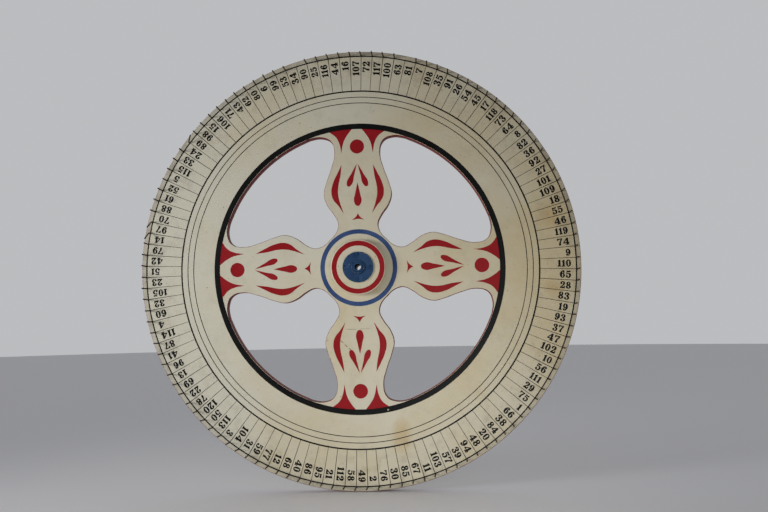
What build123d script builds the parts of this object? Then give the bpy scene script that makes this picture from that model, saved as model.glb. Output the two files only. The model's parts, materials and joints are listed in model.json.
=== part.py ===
from build123d import *
from math import cos, isclose, radians, sin, sqrt
import os

# An upright game wheel, turning on a hollow sleeve that a stand's spindle clamps.
# Millimetres. The wheel stands in the XZ plane with its front towards -Y and +Z up.
# The origin is on the axle, halfway through the board.

# ---- wheel board: three plies glued face to face ----
WHEEL_R = 457.2             # 36 in across
CORE_T = 10.0
FACE_T = 6.0
BOARD_HALF = CORE_T / 2 + FACE_T
ARRIS_R = 1.5               # rounding of the sawn edges
SPOKES = 4
RING_INNER_R = 290.0        # inside edge of the rim, where the windows end

# One side of a spoke, as (offset from its centre line, distance from the axle),
# from the rim's inside edge in to the middle of the hub corner.
RIM_CORNER_X = 97.0
SPOKE_SIDE = [
    (72.0, 275.0),
    (54.5, 266.0),
    (47.8, 242.0),          # neck
    (55.0, 209.0),
    (66.5, 176.0),
    (71.0, 155.0),          # widest
    (64.5, 132.0),
    (49.5, 110.0),
    (41.8, 93.0),           # waist
    (43.5, 80.0),
    (50.5, 67.5),
]
HUB_CORNER_R = 83.5         # hub disc, measured halfway between two spokes

# ---- number pins: wire nails driven in at the division lines ----
NUMBERS = 120
PIN_STEP = 360 / NUMBERS
PIN_CIRCLE_R = 448.5
PIN_R = 1.4
PIN_OUT = 29.0
PIN_DEPTH = 13.0
PIN_TIP = 0.4
MISSING_PINS = [13.5, 343.5]                        # degrees clockwise from the top
BENT_PINS = {280.5: -1, 283.5: -1, 307.5: 1}        # 1 leans clockwise, -1 the other way
BEND_HEIGHT = 7.0
BEND_ANGLE = 38.0
BEND_R = 4.0

# ---- hub: two turned bosses round a steel bearing barrel ----
BOSS_R = 57.15              # 4 1/2 in across
BOSS_T = 16.5
BOSS_EASE = 2.5
BOSS_FACE = BOARD_HALF + BOSS_T
BARREL_R = 23.0
BEARING_R = 20.6375         # 1 5/8 in across
BEARING_W = 11.1125         # 7/16 in wide
BEARING_INNER = BOSS_FACE - BEARING_W
BARREL_SHOULDER_R = 18.0

# ---- cover plates and their wood screws ----
FLANGE_R = 31.75            # 2 1/2 in across
FLANGE_T = 3.0
FLANGE_EASE = 0.8
FLANGE_HOLE_R = 14.5
FLANGE_FACE = BOSS_FACE + FLANGE_T
SCREWS = 4
SCREW_CIRCLE_R = 26.6
SCREW_R = 1.7
SCREW_HEAD_R = 3.4
SCREW_HEAD_T = SCREW_HEAD_R - SCREW_R      # countersunk at 90 degrees
SCREW_LENGTH = 16.0
SLOT_W = 0.9
SLOT_DEPTH = 0.8

# ---- sleeve, spacer and ring nuts ----
SLEEVE_R = 9.525            # 3/4 in across
BORE_R = 6.35               # for a 1/2 in spindle
NUT_R = 14.0
NUT_T = 5.5
NUT_NOTCHES = 4
NOTCH_W = 3.0
NOTCH_DEPTH = 1.4
NOTCH_FLOOR = 0.5           # above the cover plate
SLEEVE_STAND = 2.0          # how far the sleeve stands out of each nut
SLEEVE_HALF = BOSS_FACE + NUT_T + SLEEVE_STAND
TURNED_CHAMFER = 0.4
SPACER_R = 12.0

# ---- ball bearings ----
BALLS = 11
BALL_R = 3.175
BALL_PLAY = 0.08
BALL_CIRCLE_R = (SLEEVE_R + BEARING_R) / 2
GROOVE_R = BALL_R + BALL_PLAY
INNER_RACE_R = 13.0
OUTER_RACE_R = 17.2
BEARING_Y = BOSS_FACE - BEARING_W / 2
CAGE_R_IN = 14.1
CAGE_R_OUT = 16.1
CAGE_HALF = 3.9

SIDES = {"front": -1, "back": 1}

os.makedirs("parts", exist_ok=True)


def write(piece, name):
    """Label a finished piece and save it under its own name."""
    piece.part.label = name
    export_step(piece.part, f"parts/{name}.step")


def face_plane(side, distance):
    """The plane this far from the middle of the board, facing out of that side."""
    outward = (0, SIDES[side], 0)
    return Plane(origin=(0, SIDES[side] * distance, 0), x_dir=(1, 0, 0), z_dir=outward)


def outward_rim(piece, side, radius):
    """The edge of this radius on the outward face of a round piece."""
    rims = piece.edges().filter_by(GeomType.CIRCLE).filter_by(lambda rim: isclose(rim.radius, radius))
    return rims.sort_by(lambda rim: SIDES[side] * rim.center().Y)[-1]


def clockwise(radius, angle):
    """A point on the front plane, its angle in degrees clockwise from the top."""
    return (radius * sin(radians(angle)), radius * cos(radians(angle)))


# ---- board ----

# The window between the top spoke and the right-hand one. Its outside edge is an arc of
# the rim. One smooth line makes its two sides, which mirror each other about 45 degrees.
rim_corner = (RIM_CORNER_X, sqrt(RING_INNER_R**2 - RIM_CORNER_X**2))
hub_corner = (HUB_CORNER_R / sqrt(2), HUB_CORNER_R / sqrt(2))
top_spoke_side = [rim_corner, *SPOKE_SIDE]
right_spoke_side = [(y, x) for x, y in reversed(top_spoke_side)]
with BuildSketch() as window:
    with BuildLine():
        Spline(*top_spoke_side, hub_corner, *right_spoke_side)
        ThreePointArc(rim_corner, (RING_INNER_R / sqrt(2), RING_INNER_R / sqrt(2)), rim_corner[::-1])
    make_face()

with BuildSketch() as board_outline:
    Circle(WHEEL_R)
    with PolarLocations(0, SPOKES):
        add(window.sketch, mode=Mode.SUBTRACT)
    Circle(BARREL_R, mode=Mode.SUBTRACT)

with BuildPart() as core_ply:
    with BuildSketch(Plane.XZ.offset(-CORE_T / 2)):
        add(board_outline.sketch)
    extrude(amount=CORE_T)
write(core_ply, "core_ply")

for side in SIDES:
    with BuildPart() as face_ply:
        with BuildSketch(face_plane(side, CORE_T / 2)):
            add(board_outline.sketch)
        extrude(amount=FACE_T)
        shown_face = face_ply.faces().sort_by(lambda face: SIDES[side] * face.center().Y)[-1]
        # All its edges but the shortest, which is the barrel's bore.
        fillet(shown_face.edges().sort_by(SortBy.LENGTH)[1:], ARRIS_R)
    write(face_ply, f"{side}_face_ply")

# ---- pins ----

pin_angles = [PIN_STEP * (space + 0.5) for space in range(NUMBERS)]
straight_pins = [a for a in pin_angles if a not in MISSING_PINS and a not in BENT_PINS]

with BuildPart() as bent_pin:
    with BuildLine(Plane.XY.offset(PIN_CIRCLE_R)) as nail_line:
        rise = PIN_OUT - BEND_HEIGHT
        FilletPolyline(
            (0, PIN_DEPTH - BOARD_HALF),
            (0, -BOARD_HALF - BEND_HEIGHT),
            (rise * sin(radians(BEND_ANGLE)), -BOARD_HALF - BEND_HEIGHT - rise * cos(radians(BEND_ANGLE))),
            radius=BEND_R,
        )
    with BuildSketch(Plane(origin=nail_line.line @ 0, z_dir=nail_line.line % 0)):
        Circle(PIN_R)
    sweep(path=nail_line.line)

with BuildPart() as rim_pins:
    with BuildSketch(Plane.XZ.offset(BOARD_HALF - PIN_DEPTH)):
        with Locations(*[clockwise(PIN_CIRCLE_R, angle) for angle in straight_pins]):
            Circle(PIN_R)
    extrude(amount=PIN_DEPTH + PIN_OUT)
    chamfer(rim_pins.edges().group_by(Axis.Y)[0], PIN_TIP)
    for angle, lean in BENT_PINS.items():
        nail = bent_pin.part if lean > 0 else bent_pin.part.mirror(Plane.YZ)
        add(nail.rotate(Axis.Y, angle))
write(rim_pins, "rim_pins")

# ---- hub barrel: bored from both ends for a bearing, with a shoulder between ----

with BuildPart() as hub_barrel:
    with BuildSketch(Plane.XZ.offset(-BOSS_FACE)):
        Circle(BARREL_R)
        Circle(BARREL_SHOULDER_R, mode=Mode.SUBTRACT)
    extrude(amount=2 * BOSS_FACE)
    for side in SIDES:
        with BuildSketch(face_plane(side, BEARING_INNER)):
            Circle(BEARING_R)
            Circle(BARREL_SHOULDER_R, mode=Mode.SUBTRACT)
        extrude(amount=BEARING_W, mode=Mode.SUBTRACT)
write(hub_barrel, "hub_barrel")

# ---- what is alike on the front and the back of the hub ----

for side, way in SIDES.items():
    # Turned wooden boss, bored for the barrel, with a pilot hole for each screw.
    with BuildPart() as boss:
        with BuildSketch(face_plane(side, BOARD_HALF)):
            Circle(BOSS_R)
            Circle(BARREL_R, mode=Mode.SUBTRACT)
        extrude(amount=BOSS_T)
        fillet(outward_rim(boss, side, BOSS_R), BOSS_EASE)
        with BuildSketch(face_plane(side, BOSS_FACE)):
            with PolarLocations(SCREW_CIRCLE_R, SCREWS):
                Circle(SCREW_R)
        extrude(amount=-(SCREW_LENGTH - FLANGE_T), mode=Mode.SUBTRACT)
    write(boss, f"{side}_boss")

    # Cover plate that holds the bearing in, countersunk for its screws.
    with BuildPart() as flange:
        with BuildSketch(face_plane(side, BOSS_FACE)):
            Circle(FLANGE_R)
            Circle(FLANGE_HOLE_R, mode=Mode.SUBTRACT)
        extrude(amount=FLANGE_T)
        fillet(outward_rim(flange, side, FLANGE_R), FLANGE_EASE)
        with Locations(face_plane(side, FLANGE_FACE)):
            with PolarLocations(SCREW_CIRCLE_R, SCREWS):
                CounterSinkHole(SCREW_R, SCREW_HEAD_R, FLANGE_T)
    write(flange, f"{side}_flange")

    # Slotted countersunk wood screws.
    with BuildPart() as screws:
        with BuildSketch(face_plane(side, FLANGE_FACE)):
            with PolarLocations(SCREW_CIRCLE_R, SCREWS):
                Circle(SCREW_R)
        extrude(amount=-SCREW_LENGTH)
        with Locations(face_plane(side, FLANGE_FACE - SCREW_HEAD_T / 2)):
            with PolarLocations(SCREW_CIRCLE_R, SCREWS):
                Cone(SCREW_R, SCREW_HEAD_R, SCREW_HEAD_T)
        with BuildSketch(face_plane(side, FLANGE_FACE)):
            with PolarLocations(SCREW_CIRCLE_R, SCREWS):
                Rectangle(2 * SCREW_HEAD_R, SLOT_W)
        extrude(amount=-SLOT_DEPTH, mode=Mode.SUBTRACT)
    write(screws, f"{side}_flange_screws")

    # Outer race, fixed in the barrel, with half the ball groove.
    with BuildPart() as outer_race:
        with BuildSketch(face_plane(side, BEARING_INNER)):
            Circle(BEARING_R)
            Circle(OUTER_RACE_R, mode=Mode.SUBTRACT)
        extrude(amount=BEARING_W)
        with Locations(face_plane(side, BEARING_Y)):
            Torus(BALL_CIRCLE_R, GROOVE_R, mode=Mode.SUBTRACT)
    write(outer_race, f"{side}_outer_race")

    # Inner race, clamped on the sleeve, with the other half.
    with BuildPart() as inner_race:
        with BuildSketch(face_plane(side, BEARING_INNER)):
            Circle(INNER_RACE_R)
            Circle(SLEEVE_R, mode=Mode.SUBTRACT)
        extrude(amount=BEARING_W)
        with Locations(face_plane(side, BEARING_Y)):
            Torus(BALL_CIRCLE_R, GROOVE_R, mode=Mode.SUBTRACT)
    write(inner_race, f"{side}_inner_race")

    # Balls.
    with BuildPart() as balls:
        with Locations(face_plane(side, BEARING_Y)):
            with PolarLocations(BALL_CIRCLE_R, BALLS):
                Sphere(BALL_R)
    write(balls, f"{side}_balls")

    # Cage: a band drilled from outside with a pocket for each ball.
    with BuildPart() as cage:
        with BuildSketch(face_plane(side, BEARING_Y - CAGE_HALF)):
            Circle(CAGE_R_OUT)
            Circle(CAGE_R_IN, mode=Mode.SUBTRACT)
        extrude(amount=2 * CAGE_HALF)
        for ball_place in PolarLocations(BALL_CIRCLE_R, BALLS):
            towards_ball = (face_plane(side, 0) * ball_place).position
            with Locations(Plane(origin=towards_ball + (0, way * BEARING_Y, 0), z_dir=towards_ball)):
                Cylinder(GROOVE_R, 2 * BALL_R, mode=Mode.SUBTRACT)
    write(cage, f"{side}_cage")

    # Ring nut that clamps the inner race, with notches for a pin spanner.
    with BuildPart() as ring_nut:
        with BuildSketch(face_plane(side, BOSS_FACE)):
            Circle(NUT_R)
            Circle(SLEEVE_R, mode=Mode.SUBTRACT)
        extrude(amount=NUT_T)
        chamfer([outward_rim(ring_nut, side, radius) for radius in (SLEEVE_R, NUT_R)], TURNED_CHAMFER)
        with BuildSketch(face_plane(side, FLANGE_FACE + NOTCH_FLOOR)):
            with PolarLocations(NUT_R, NUT_NOTCHES, start_angle=180 / NUT_NOTCHES):
                Rectangle(2 * NOTCH_DEPTH, NOTCH_W)
        extrude(amount=NUT_T, mode=Mode.SUBTRACT)
    write(ring_nut, f"{side}_ring_nut")

# ---- sleeve and spacer: these stand still while the wheel turns ----

with BuildPart() as axle_sleeve:
    with BuildSketch(Plane.XZ.offset(-SLEEVE_HALF)):
        Circle(SLEEVE_R)
        Circle(BORE_R, mode=Mode.SUBTRACT)
    extrude(amount=2 * SLEEVE_HALF)
    chamfer(axle_sleeve.edges().filter_by(GeomType.CIRCLE), TURNED_CHAMFER)
write(axle_sleeve, "axle_sleeve")

with BuildPart() as race_spacer:
    with BuildSketch(Plane.XZ.offset(-BEARING_INNER)):
        Circle(SPACER_R)
        Circle(SLEEVE_R, mode=Mode.SUBTRACT)
    extrude(amount=2 * BEARING_INNER)
write(race_spacer, "race_spacer")
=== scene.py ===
import json
from math import asin, cos, degrees, pi, radians, sin, sqrt
import random

import bmesh
import bpy
from mathutils import Matrix, Vector, noise


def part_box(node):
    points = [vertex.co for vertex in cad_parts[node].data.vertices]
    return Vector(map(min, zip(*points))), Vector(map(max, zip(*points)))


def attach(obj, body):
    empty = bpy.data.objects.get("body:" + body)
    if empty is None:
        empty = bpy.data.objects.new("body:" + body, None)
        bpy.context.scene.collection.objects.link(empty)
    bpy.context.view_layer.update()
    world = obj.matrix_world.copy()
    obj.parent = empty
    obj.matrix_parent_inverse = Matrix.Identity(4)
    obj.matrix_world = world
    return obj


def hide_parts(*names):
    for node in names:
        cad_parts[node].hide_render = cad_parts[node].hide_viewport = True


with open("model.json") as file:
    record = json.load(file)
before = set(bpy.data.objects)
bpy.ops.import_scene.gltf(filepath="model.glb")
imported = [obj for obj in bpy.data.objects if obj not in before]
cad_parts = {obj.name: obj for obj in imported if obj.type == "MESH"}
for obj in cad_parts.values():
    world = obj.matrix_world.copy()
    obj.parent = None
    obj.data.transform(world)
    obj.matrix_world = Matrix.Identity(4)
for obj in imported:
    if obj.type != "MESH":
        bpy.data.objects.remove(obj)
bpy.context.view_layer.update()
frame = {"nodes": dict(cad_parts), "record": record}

# ---- wheel board ------------------------------------------------------------------------
# Three plies glued up as one panel, sawn round, with four windows sawn out between spokes.
# The sawn edges are eased and painted dark red. Both faces are cream oil paint, yellowed
# and stained with age.

BOARD_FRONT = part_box("front_face_ply")[0].y
BOARD_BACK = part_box("back_face_ply")[1].y
WHEEL_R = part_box("core_ply")[1].z
RING_INNER_R = 0.290
RIM_CORNER_X = 0.097
HUB_CORNER_R = 0.0835
ARRIS = 0.0015
BARREL_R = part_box("hub_barrel")[1].x
SPOKE_SIDE = [
    (0.0720, 0.2750), (0.0545, 0.2660), (0.0478, 0.2420), (0.0550, 0.2090), (0.0665, 0.1760),
    (0.0710, 0.1550), (0.0645, 0.1320), (0.0495, 0.1100), (0.0418, 0.0930), (0.0435, 0.0800),
    (0.0505, 0.0675),
]
QUARTER_TURNS = [Matrix.Rotation(quarter * pi / 2, 4, "Y") for quarter in range(4)]


def oval(x, z, half_width, half_height):
    """Four smooth points round an oval."""
    return [(x, z + half_height, "AUTO"), (x + half_width, z, "AUTO"),
            (x, z - half_height, "AUTO"), (x - half_width, z, "AUTO")]


def flat_shape(name, outlines, thickness, ease=0.0, ease_steps=0, fatter=0.0):
    """A closed flat solid cut to its outlines, lying in XZ with its middle on Y = 0.

    Each outline is (points, steps between points). A point is (x, z, handle type). The
    long edges are eased, and fatter spreads the outline outwards.
    """
    curve = bpy.data.curves.new(name, "CURVE")
    curve.dimensions = "2D"
    curve.fill_mode = "BOTH"
    curve.extrude = thickness / 2 - ease
    curve.bevel_depth = ease
    curve.bevel_resolution = ease_steps
    curve.offset = fatter - ease
    for points, steps in outlines:
        spline = curve.splines.new("BEZIER")
        spline.bezier_points.add(len(points) - 1)
        for knot, (x, z, handle) in zip(spline.bezier_points, points):
            knot.co = (x, z, 0)
            knot.handle_left_type = handle
            knot.handle_right_type = handle
        spline.resolution_u = steps
        spline.use_cyclic_u = True
    pattern = bpy.data.objects.new(name, curve)
    bpy.context.scene.collection.objects.link(pattern)
    graph = bpy.context.evaluated_depsgraph_get()
    mesh = bpy.data.meshes.new_from_object(pattern.evaluated_get(graph))
    bpy.data.objects.remove(pattern)
    mesh.transform(Matrix.Rotation(radians(90), 4, "X"))
    shape = bmesh.new()
    shape.from_mesh(mesh)
    bpy.data.meshes.remove(mesh)
    bmesh.ops.remove_doubles(shape, verts=shape.verts, dist=1e-6)
    bmesh.ops.recalc_face_normals(shape, faces=shape.faces)
    return shape


def finished(shape, name, materials):
    """Turns a bmesh into a piece that sits at the origin."""
    mesh = bpy.data.meshes.new(name)
    shape.to_mesh(mesh)
    shape.free()
    piece = bpy.data.objects.new(name, mesh)
    bpy.context.scene.collection.objects.link(piece)
    for material in materials:
        mesh.materials.append(material)
    return piece


cream_paint = bpy.data.materials.new("aged_cream_paint")
cream_paint.use_nodes = True
nodes = cream_paint.node_tree.nodes
links = cream_paint.node_tree.links
nodes.clear()

place = nodes.new("ShaderNodeTexCoord")
place.label = "Place on the board"

yellowing = nodes.new("NodeFrame")
yellowing.label = "Yellowing of the oil paint"
cloud = nodes.new("ShaderNodeTexNoise")
cloud.label = "Clouds of yellowing"
cloud.parent = yellowing
cloud.inputs["Scale"].default_value = 4.2
cloud.inputs["Detail"].default_value = 6.0
cloud.inputs["Roughness"].default_value = 0.62
sideways = nodes.new("ShaderNodeSeparateXYZ")
sideways.label = "Left and right on the face"
sideways.parent = yellowing
sunned = nodes.new("ShaderNodeMapRange")
sunned.label = "Right side yellowed more"
sunned.parent = yellowing
sunned.inputs["From Min"].default_value = -0.40
sunned.inputs["From Max"].default_value = 0.40
sunned.inputs["To Min"].default_value = -0.12
sunned.inputs["To Max"].default_value = 0.20
yellow_amount = nodes.new("ShaderNodeMath")
yellow_amount.label = "Clouds and the yellowed side"
yellow_amount.parent = yellowing
yellow_amount.operation = "ADD"
cloud_colour = nodes.new("ShaderNodeValToRGB")
cloud_colour.label = "Cream to yellowed cream"
cloud_colour.parent = yellowing
cloud_colour.color_ramp.elements[0].position = 0.38
cloud_colour.color_ramp.elements[0].color = (0.600, 0.575, 0.470, 1)
cloud_colour.color_ramp.elements[1].position = 0.78
cloud_colour.color_ramp.elements[1].color = (0.560, 0.475, 0.300, 1)

stains = nodes.new("NodeFrame")
stains.label = "Damp stains"
ragged = nodes.new("ShaderNodeTexNoise")
ragged.label = "Ragged stain edges"
ragged.parent = stains
ragged.inputs["Scale"].default_value = 45.0
ragged.inputs["Detail"].default_value = 5.0
ragged_shift = nodes.new("ShaderNodeVectorMath")
ragged_shift.label = "How far the edges wander"
ragged_shift.parent = stains
ragged_shift.operation = "MULTIPLY_ADD"
ragged_shift.inputs[1].default_value = (0.03, 0.0, 0.03)
low_stain_place = nodes.new("ShaderNodeMapping")
low_stain_place.label = "Long stain under the bottom spoke"
low_stain_place.parent = stains
low_stain_place.inputs["Location"].default_value = (-3.96, 0.0, 7.26)
low_stain_place.inputs["Scale"].default_value = (40.0, 0.0, 22.0)
low_stain = nodes.new("ShaderNodeTexGradient")
low_stain.label = "Long stain"
low_stain.parent = stains
low_stain.gradient_type = "SPHERICAL"
side_stain_place = nodes.new("ShaderNodeMapping")
side_stain_place.label = "Stain on the right"
side_stain_place.parent = stains
side_stain_place.inputs["Location"].default_value = (-14.94, 0.0, 1.26)
side_stain_place.inputs["Scale"].default_value = (36.0, 0.0, 36.0)
side_stain = nodes.new("ShaderNodeTexGradient")
side_stain.label = "Right stain"
side_stain.parent = stains
side_stain.gradient_type = "SPHERICAL"
high_stain_place = nodes.new("ShaderNodeMapping")
high_stain_place.label = "Stain high on the right"
high_stain_place.parent = stains
high_stain_place.inputs["Location"].default_value = (-11.56, 0.0, -3.16)
high_stain_place.inputs["Scale"].default_value = (28.0, 0.0, 28.0)
high_stain = nodes.new("ShaderNodeTexGradient")
high_stain.label = "High stain"
high_stain.parent = stains
high_stain.gradient_type = "SPHERICAL"
two_stains = nodes.new("ShaderNodeMath")
two_stains.label = "Long and right stains"
two_stains.parent = stains
two_stains.operation = "MAXIMUM"
all_stains = nodes.new("ShaderNodeMath")
all_stains.label = "All stains"
all_stains.parent = stains
all_stains.operation = "MAXIMUM"
stain_strength = nodes.new("ShaderNodeMapRange")
stain_strength.label = "Soft stain edge"
stain_strength.parent = stains
stain_strength.inputs["From Max"].default_value = 0.75
stain_strength.inputs["To Max"].default_value = 0.50
stained = nodes.new("ShaderNodeMix")
stained.label = "Paint with stains"
stained.parent = stains
stained.data_type = "RGBA"
stained.inputs["B"].default_value = (0.470, 0.320, 0.120, 1)

grime = nodes.new("NodeFrame")
grime.label = "Grime at the rim and hub"
in_plane = nodes.new("ShaderNodeVectorMath")
in_plane.label = "Flat on the face"
in_plane.parent = grime
in_plane.operation = "MULTIPLY"
in_plane.inputs[1].default_value = (1.0, 0.0, 1.0)
from_axle = nodes.new("ShaderNodeVectorMath")
from_axle.label = "Distance from the axle"
from_axle.parent = grime
from_axle.operation = "LENGTH"
towards_rim = nodes.new("ShaderNodeMapRange")
towards_rim.label = "Dirtier towards the rim"
towards_rim.parent = grime
towards_rim.inputs["From Min"].default_value = 0.360
towards_rim.inputs["From Max"].default_value = 0.458
towards_rim.inputs["To Min"].default_value = 0.25
smears = nodes.new("ShaderNodeTexNoise")
smears.label = "Smears"
smears.parent = grime
smears.inputs["Scale"].default_value = 38.0
smears.inputs["Detail"].default_value = 8.0
smears.inputs["Roughness"].default_value = 0.7
smear_strength = nodes.new("ShaderNodeMapRange")
smear_strength.label = "Only the darker smears"
smear_strength.parent = grime
smear_strength.inputs["From Min"].default_value = 0.50
smear_strength.inputs["From Max"].default_value = 0.80
smear_strength.inputs["To Max"].default_value = 0.8
grime_amount = nodes.new("ShaderNodeMath")
grime_amount.label = "Grime amount"
grime_amount.parent = grime
grime_amount.operation = "MULTIPLY"
grimy = nodes.new("ShaderNodeMix")
grimy.label = "Paint with grime"
grimy.parent = grime
grimy.data_type = "RGBA"
grimy.inputs["B"].default_value = (0.230, 0.180, 0.115, 1)
outside_band = nodes.new("ShaderNodeMapRange")
outside_band.label = "Outside the number band"
outside_band.parent = grime
outside_band.inputs["From Min"].default_value = 0.4462
outside_band.inputs["From Max"].default_value = 0.4490
outside_band.inputs["To Max"].default_value = 0.75
margin_amount = nodes.new("ShaderNodeMath")
margin_amount.label = "Patchy handling dirt"
margin_amount.parent = grime
margin_amount.operation = "MULTIPLY"
handled = nodes.new("ShaderNodeMix")
handled.label = "Handled margin"
handled.parent = grime
handled.data_type = "RGBA"
handled.inputs["B"].default_value = (0.290, 0.265, 0.210, 1)

chips = nodes.new("NodeFrame")
chips.label = "Flyspecks and chips"
specks = nodes.new("ShaderNodeTexNoise")
specks.label = "Flyspecks"
specks.parent = chips
specks.inputs["Scale"].default_value = 210.0
specks.inputs["Detail"].default_value = 2.0
speck_mask = nodes.new("ShaderNodeMapRange")
speck_mask.label = "Few and small"
speck_mask.parent = chips
speck_mask.inputs["From Min"].default_value = 0.735
speck_mask.inputs["From Max"].default_value = 0.765
speck_mask.inputs["To Max"].default_value = 0.75
specked = nodes.new("ShaderNodeMix")
specked.label = "Paint with flyspecks"
specked.parent = chips
specked.data_type = "RGBA"
specked.inputs["B"].default_value = (0.120, 0.075, 0.035, 1)

surface = nodes.new("NodeFrame")
surface.label = "Brushed surface over wood grain"
grain_place = nodes.new("ShaderNodeMapping")
grain_place.label = "Grain runs across the wheel"
grain_place.parent = surface
grain_place.inputs["Scale"].default_value = (6.0, 40.0, 170.0)
grain = nodes.new("ShaderNodeTexNoise")
grain.label = "Grain showing through"
grain.parent = surface
grain.inputs["Scale"].default_value = 1.0
grain.inputs["Detail"].default_value = 6.0
grain_bump = nodes.new("ShaderNodeBump")
grain_bump.label = "Grain relief"
grain_bump.parent = surface
grain_bump.inputs["Strength"].default_value = 0.22
grain_bump.inputs["Distance"].default_value = 0.0006
brush = nodes.new("ShaderNodeTexNoise")
brush.label = "Orange peel of the old paint"
brush.parent = surface
brush.inputs["Scale"].default_value = 240.0
brush.inputs["Detail"].default_value = 4.0
brush_bump = nodes.new("ShaderNodeBump")
brush_bump.label = "Paint relief"
brush_bump.parent = surface
brush_bump.inputs["Strength"].default_value = 0.12
brush_bump.inputs["Distance"].default_value = 0.0004
sheen_change = nodes.new("ShaderNodeMapRange")
sheen_change.label = "Dull and shiny areas"
sheen_change.parent = surface
sheen_change.inputs["To Min"].default_value = 0.44
sheen_change.inputs["To Max"].default_value = 0.66

paint = nodes.new("ShaderNodeBsdfPrincipled")
paint.label = "Cream oil paint"
paint.inputs["Specular IOR Level"].default_value = 0.30
out = nodes.new("ShaderNodeOutputMaterial")
out.label = "Board surface"

links.new(place.outputs["Object"], cloud.inputs["Vector"])
links.new(place.outputs["Object"], sideways.inputs["Vector"])
links.new(sideways.outputs["X"], sunned.inputs["Value"])
links.new(cloud.outputs["Fac"], yellow_amount.inputs[0])
links.new(sunned.outputs["Result"], yellow_amount.inputs[1])
links.new(yellow_amount.outputs["Value"], cloud_colour.inputs["Fac"])
links.new(place.outputs["Object"], ragged.inputs["Vector"])
links.new(ragged.outputs["Color"], ragged_shift.inputs[0])
links.new(place.outputs["Object"], ragged_shift.inputs[2])
links.new(ragged_shift.outputs["Vector"], low_stain_place.inputs["Vector"])
links.new(ragged_shift.outputs["Vector"], side_stain_place.inputs["Vector"])
links.new(ragged_shift.outputs["Vector"], high_stain_place.inputs["Vector"])
links.new(low_stain_place.outputs["Vector"], low_stain.inputs["Vector"])
links.new(side_stain_place.outputs["Vector"], side_stain.inputs["Vector"])
links.new(high_stain_place.outputs["Vector"], high_stain.inputs["Vector"])
links.new(low_stain.outputs["Fac"], two_stains.inputs[0])
links.new(side_stain.outputs["Fac"], two_stains.inputs[1])
links.new(two_stains.outputs["Value"], all_stains.inputs[0])
links.new(high_stain.outputs["Fac"], all_stains.inputs[1])
links.new(all_stains.outputs["Value"], stain_strength.inputs["Value"])
links.new(stain_strength.outputs["Result"], stained.inputs["Factor"])
links.new(cloud_colour.outputs["Color"], stained.inputs["A"])
links.new(place.outputs["Object"], in_plane.inputs[0])
links.new(in_plane.outputs["Vector"], from_axle.inputs[0])
links.new(from_axle.outputs["Value"], towards_rim.inputs["Value"])
links.new(place.outputs["Object"], smears.inputs["Vector"])
links.new(smears.outputs["Fac"], smear_strength.inputs["Value"])
links.new(towards_rim.outputs["Result"], grime_amount.inputs[0])
links.new(smear_strength.outputs["Result"], grime_amount.inputs[1])
links.new(grime_amount.outputs["Value"], grimy.inputs["Factor"])
links.new(stained.outputs["Result"], grimy.inputs["A"])
links.new(place.outputs["Object"], specks.inputs["Vector"])
links.new(specks.outputs["Fac"], speck_mask.inputs["Value"])
links.new(speck_mask.outputs["Result"], specked.inputs["Factor"])
links.new(from_axle.outputs["Value"], outside_band.inputs["Value"])
links.new(outside_band.outputs["Result"], margin_amount.inputs[0])
links.new(smears.outputs["Fac"], margin_amount.inputs[1])
links.new(margin_amount.outputs["Value"], handled.inputs["Factor"])
links.new(grimy.outputs["Result"], handled.inputs["A"])
links.new(handled.outputs["Result"], specked.inputs["A"])
links.new(place.outputs["Object"], grain_place.inputs["Vector"])
links.new(grain_place.outputs["Vector"], grain.inputs["Vector"])
links.new(grain.outputs["Fac"], grain_bump.inputs["Height"])
links.new(place.outputs["Object"], brush.inputs["Vector"])
links.new(brush.outputs["Fac"], brush_bump.inputs["Height"])
links.new(grain_bump.outputs["Normal"], brush_bump.inputs["Normal"])
links.new(smears.outputs["Fac"], sheen_change.inputs["Value"])
links.new(specked.outputs["Result"], paint.inputs["Base Color"])
links.new(sheen_change.outputs["Result"], paint.inputs["Roughness"])
links.new(brush_bump.outputs["Normal"], paint.inputs["Normal"])
links.new(paint.outputs["BSDF"], out.inputs["Surface"])
for count, node in enumerate(nodes):
    node.location = (240 * (count % 8), -300 * (count // 8))


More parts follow.
